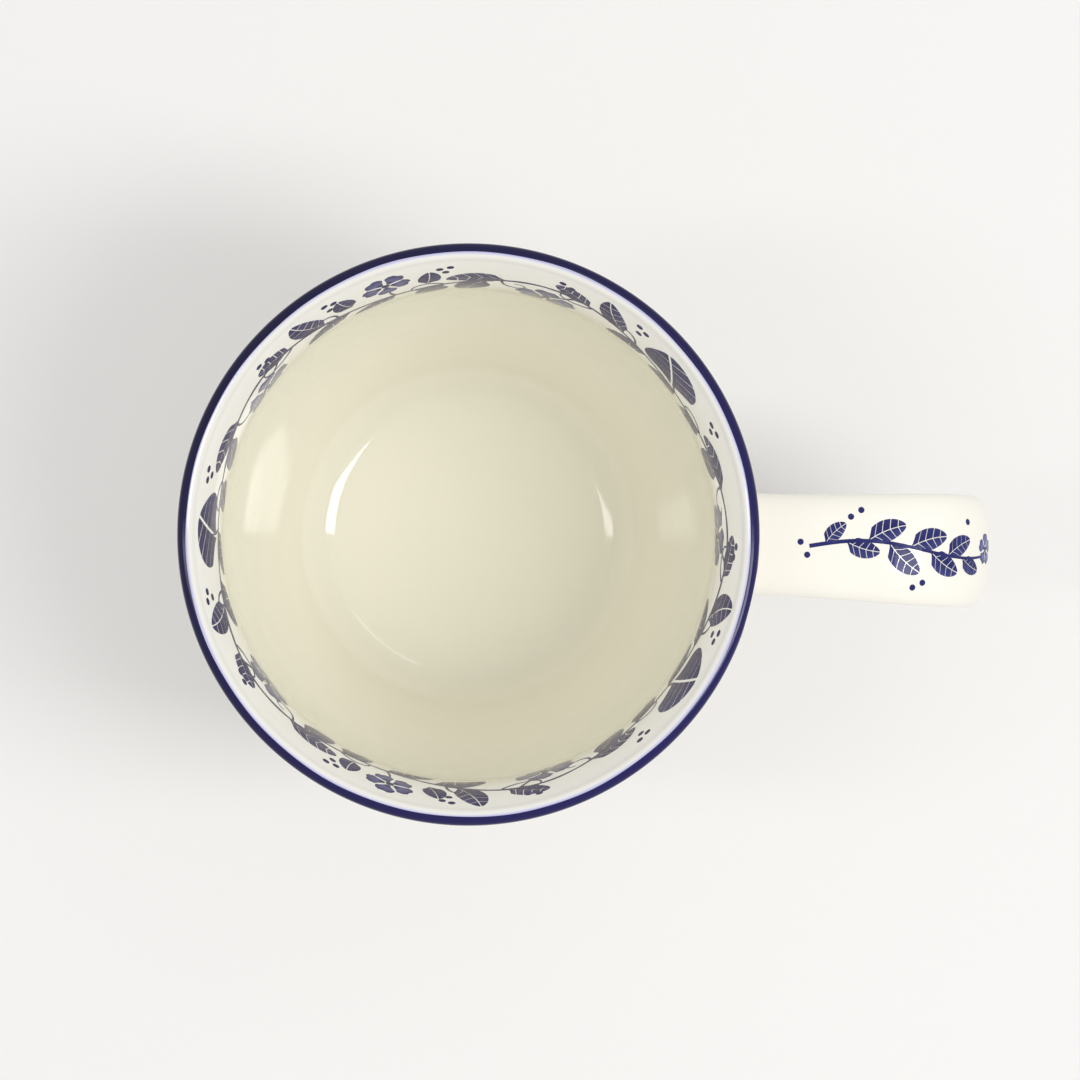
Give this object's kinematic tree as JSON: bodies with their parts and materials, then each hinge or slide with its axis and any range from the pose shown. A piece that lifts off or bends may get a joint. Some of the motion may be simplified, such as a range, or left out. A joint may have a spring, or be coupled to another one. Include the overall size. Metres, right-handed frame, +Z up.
{
  "type": "mug",
  "caption": "Flared china mug with a rounded lip, a tapering bowl on a foot ring and a broad strap handle; it holds about 350 ml of a hot drink.",
  "frame": {"origin": "on the mug's axis, in the plane that the foot ring stands on", "axes": "+Z up along the mug's axis, +X from the axis towards the handle"},
  "size_m": [0.1283, 0.09, 0.092],
  "materials": {
    "glaze": "glossy ivory glaze, with a blue line round the lip and a blue print"
  },
  "bodies": {
    "root": {"mug": "glaze"}
  },
  "joints": []
}
